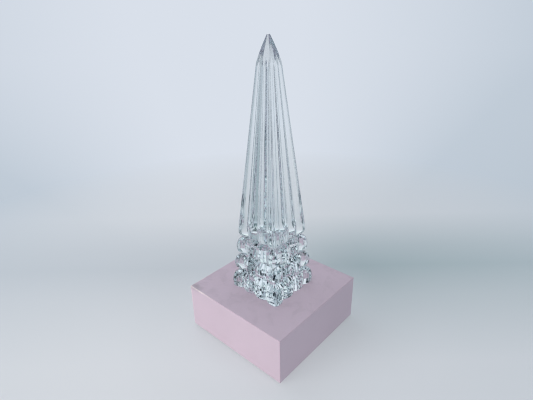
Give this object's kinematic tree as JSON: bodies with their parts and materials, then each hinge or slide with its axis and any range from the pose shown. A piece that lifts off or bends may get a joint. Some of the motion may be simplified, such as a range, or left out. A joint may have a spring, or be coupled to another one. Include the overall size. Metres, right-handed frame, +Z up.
{
  "type": "crystal award",
  "caption": "Tall tapered crystal obelisk with reeded sides and rounded cushion cuts at the foot, on a matte square plinth built as a hollow mitred box.",
  "frame": {"origin": "centre of the underside, on the surface the award stands on", "axes": "+Z up along the obelisk; X and Y square to the plinth's sides, -Y the front side and +X the right side"},
  "size_m": [0.12, 0.12, 0.2877],
  "materials": {
    "crystal": "polished clear lead crystal, faintly grey-green in its thick parts",
    "adhesive": "clear set adhesive",
    "painted_board": "fibreboard sprayed matte dusty pink",
    "cover_board": "bare hardboard",
    "glue_block": "planed softwood",
    "screw_metal": "yellow zinc plated steel",
    "pad_felt": "dark grey felt"
  },
  "bodies": {
    "root": {"crystal_obelisk": "crystal", "adhesive_dot_1": "adhesive", "adhesive_dot_2": "adhesive", "adhesive_dot_3": "adhesive", "adhesive_dot_4": "adhesive", "plinth_top": "painted_board", "plinth_side_front": "painted_board", "plinth_side_right": "painted_board", "plinth_side_back": "painted_board", "plinth_side_left": "painted_board", "corner_block_1": "glue_block", "corner_block_2": "glue_block", "corner_block_3": "glue_block", "corner_block_4": "glue_block", "bottom_cover": "cover_board", "cover_screws": "screw_metal", "foot_pad_1": "pad_felt", "foot_pad_2": "pad_felt", "foot_pad_3": "pad_felt", "foot_pad_4": "pad_felt"}
  },
  "joints": []
}
